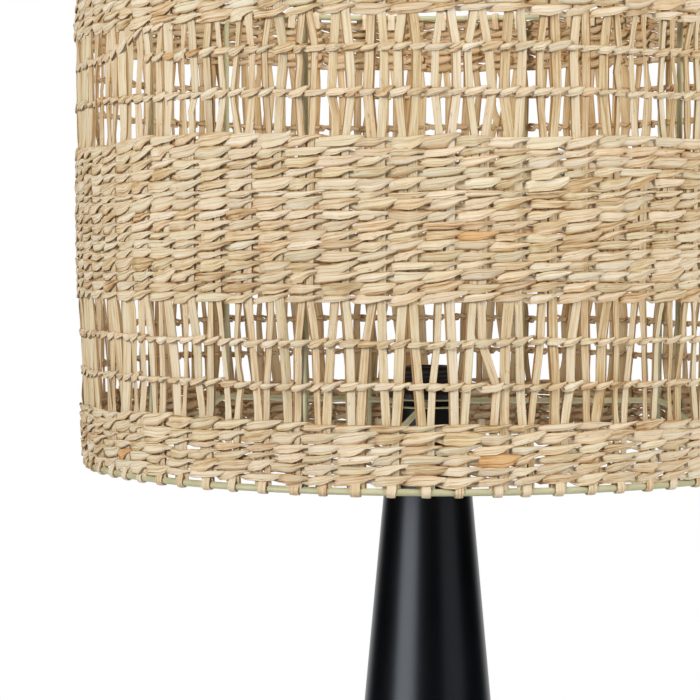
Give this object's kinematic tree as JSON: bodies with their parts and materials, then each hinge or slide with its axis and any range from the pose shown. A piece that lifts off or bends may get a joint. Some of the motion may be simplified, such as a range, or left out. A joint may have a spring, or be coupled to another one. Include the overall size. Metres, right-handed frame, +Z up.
{
  "type": "floor lamp",
  "caption": "Floor lamp: tall tapered black steel stand on a weighted foot, screw-cap lampholder, and a round drum shade of twined natural rattan on a welded wire frame.",
  "frame": {"origin": "on the floor under the lamp's axis, at the middle of the foot", "axes": "+Z up along the lamp's axis; the picture looks along +Y, with +X to its right"},
  "size_m": [0.4974, 0.5002, 1.5002],
  "materials": {
    "felt": "pressed felt",
    "cast_iron": "as cast, blackened",
    "black_steel": "satin black enamel on steel sheet",
    "black_plastic": "moulded, satin",
    "zinc_steel": "zinc plated",
    "cream_plastic": "moulded thermoset",
    "brass": "rolled sheet",
    "sage_enamel": "khaki enamel on steel wire",
    "rattan": "natural split cane, unvarnished"
  },
  "bodies": {
    "stand": {"felt_pad": "felt", "cast_weight": "cast_iron", "cone_body": "black_steel", "cord_outlet": "black_plastic", "seat_disc": "zinc_steel", "tie_tube": "zinc_steel", "foot_washer": "zinc_steel", "foot_nut": "zinc_steel", "seat_washer": "zinc_steel", "seat_nut": "zinc_steel", "holder_cap": "black_plastic", "holder_shell": "black_plastic", "contact_block": "cream_plastic", "screw_sleeve": "brass", "centre_contact": "brass", "live_terminal_screw": "brass", "neutral_terminal_screw": "brass"},
    "shade": {"lower_hoop": "sage_enamel", "upper_hoop": "sage_enamel", "frame_upright_01": "sage_enamel", "frame_upright_02": "sage_enamel", "frame_upright_03": "sage_enamel", "frame_upright_04": "sage_enamel", "frame_upright_05": "sage_enamel", "frame_upright_06": "sage_enamel", "frame_upright_07": "sage_enamel", "frame_upright_08": "sage_enamel", "frame_upright_09": "sage_enamel", "frame_upright_10": "sage_enamel", "frame_upright_11": "sage_enamel", "frame_upright_12": "sage_enamel", "spider_arm_1": "sage_enamel", "spider_arm_2": "sage_enamel", "spider_arm_3": "sage_enamel", "fitter_washer_lower": "sage_enamel", "fitter_washer_upper": "sage_enamel", "lower_woven_band": "rattan", "middle_woven_band": "rattan", "upper_woven_band": "rattan", "lower_openwork_strips": "rattan", "lower_twined_row_1": "rattan", "lower_twined_row_2": "rattan", "upper_twined_row_1": "rattan", "upper_twined_row_2": "rattan"},
    "clamp_ring": {"shade_clamp_ring": "black_plastic"}
  },
  "joints": [
    {"name": "shade_lift", "type": "slide", "parent": "stand", "child": "shade", "axis": [0, 0, 1], "range_m": [0, 0.029]},
    {"name": "clamp_ring_turn", "type": "hinge", "parent": "shade", "child": "clamp_ring", "pos_m": [0, 0, 1.209], "axis": [0, 0, 1], "range_deg": [0, 3240]}
  ]
}
